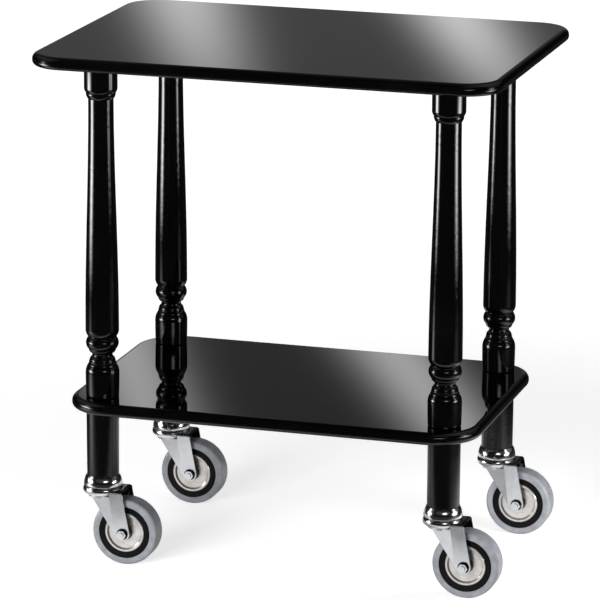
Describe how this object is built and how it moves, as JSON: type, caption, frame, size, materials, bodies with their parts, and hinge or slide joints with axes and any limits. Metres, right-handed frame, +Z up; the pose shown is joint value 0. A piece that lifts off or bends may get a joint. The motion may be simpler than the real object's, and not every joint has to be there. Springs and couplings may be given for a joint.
{
  "type": "serving trolley",
  "caption": "Serving trolley with a gloss lacquered top and lower shelf on turned wooden legs, rolling on swivel castors with grey rubber tyres.",
  "frame": {"origin": "on the floor, under the middle of the top board", "axes": "+Z up, +X along the length (the way the castors trail), -Y to the front"},
  "size_m": [0.7, 0.505, 0.776],
  "materials": {
    "black_lacquer": "high-gloss black lacquer",
    "black_satin": "satin black lacquer",
    "chrome": "polished chrome plate",
    "zinc_steel": "bright zinc plate",
    "nickel_plate": "satin nickel plate",
    "bearing_steel": "polished",
    "black_plastic": "moulded, satin",
    "nylon": "natural nylon",
    "grey_rubber": "smooth non-marking grey rubber"
  },
  "bodies": {
    "frame": {"top_board": "black_lacquer", "lower_shelf": "black_lacquer", "upper_leg_front_left": "black_lacquer", "upper_leg_front_right": "black_lacquer", "upper_leg_rear_left": "black_lacquer", "upper_leg_rear_right": "black_lacquer", "lower_leg_front_left": "black_satin", "lower_leg_front_right": "black_satin", "lower_leg_rear_left": "black_satin", "lower_leg_rear_right": "black_satin", "castor_cap_front_left": "chrome", "castor_cap_front_right": "chrome", "castor_cap_rear_left": "chrome", "castor_cap_rear_right": "chrome", "top_studs": "zinc_steel", "leg_studs": "zinc_steel", "stem_sockets": "zinc_steel", "castor_stems": "zinc_steel"},
    "castor_front_left": {"dust_ring_front_left": "chrome", "fork_front_left": "zinc_steel", "axle_bolt_front_left": "zinc_steel", "axle_nut_front_left": "zinc_steel", "axle_sleeve_front_left": "zinc_steel", "bearing_balls_front_left": "bearing_steel"},
    "wheel_front_left": {"tyre_front_left": "grey_rubber", "wheel_core_front_left": "black_plastic", "thread_guards_front_left": "nickel_plate", "wheel_bush_front_left": "nylon"},
    "castor_front_right": {"dust_ring_front_right": "chrome", "fork_front_right": "zinc_steel", "axle_bolt_front_right": "zinc_steel", "axle_nut_front_right": "zinc_steel", "axle_sleeve_front_right": "zinc_steel", "bearing_balls_front_right": "bearing_steel"},
    "wheel_front_right": {"tyre_front_right": "grey_rubber", "wheel_core_front_right": "black_plastic", "thread_guards_front_right": "nickel_plate", "wheel_bush_front_right": "nylon"},
    "castor_rear_left": {"dust_ring_rear_left": "chrome", "fork_rear_left": "zinc_steel", "axle_bolt_rear_left": "zinc_steel", "axle_nut_rear_left": "zinc_steel", "axle_sleeve_rear_left": "zinc_steel", "bearing_balls_rear_left": "bearing_steel"},
    "wheel_rear_left": {"tyre_rear_left": "grey_rubber", "wheel_core_rear_left": "black_plastic", "thread_guards_rear_left": "nickel_plate", "wheel_bush_rear_left": "nylon"},
    "castor_rear_right": {"dust_ring_rear_right": "chrome", "fork_rear_right": "zinc_steel", "axle_bolt_rear_right": "zinc_steel", "axle_nut_rear_right": "zinc_steel", "axle_sleeve_rear_right": "zinc_steel", "bearing_balls_rear_right": "bearing_steel"},
    "wheel_rear_right": {"tyre_rear_right": "grey_rubber", "wheel_core_rear_right": "black_plastic", "thread_guards_rear_right": "nickel_plate", "wheel_bush_rear_right": "nylon"}
  },
  "joints": [
    {"name": "swivel_front_left", "type": "hinge", "parent": "frame", "child": "castor_front_left", "pos_m": [-0.26125, -0.1605, 0.114], "axis": [0, 0, 1], "continuous": true},
    {"name": "wheel_spin_front_left", "type": "hinge", "parent": "castor_front_left", "child": "wheel_front_left", "pos_m": [-0.22325, -0.1605, 0.05], "axis": [0, 1, 0], "continuous": true},
    {"name": "swivel_front_right", "type": "hinge", "parent": "frame", "child": "castor_front_right", "pos_m": [0.26125, -0.1605, 0.114], "axis": [0, 0, 1], "continuous": true},
    {"name": "wheel_spin_front_right", "type": "hinge", "parent": "castor_front_right", "child": "wheel_front_right", "pos_m": [0.29925, -0.1605, 0.05], "axis": [0, 1, 0], "continuous": true},
    {"name": "swivel_rear_left", "type": "hinge", "parent": "frame", "child": "castor_rear_left", "pos_m": [-0.26125, 0.1605, 0.114], "axis": [0, 0, 1], "continuous": true},
    {"name": "wheel_spin_rear_left", "type": "hinge", "parent": "castor_rear_left", "child": "wheel_rear_left", "pos_m": [-0.22325, 0.1605, 0.05], "axis": [0, 1, 0], "continuous": true},
    {"name": "swivel_rear_right", "type": "hinge", "parent": "frame", "child": "castor_rear_right", "pos_m": [0.26125, 0.1605, 0.114], "axis": [0, 0, 1], "continuous": true},
    {"name": "wheel_spin_rear_right", "type": "hinge", "parent": "castor_rear_right", "child": "wheel_rear_right", "pos_m": [0.29925, 0.1605, 0.05], "axis": [0, 1, 0], "continuous": true}
  ]
}
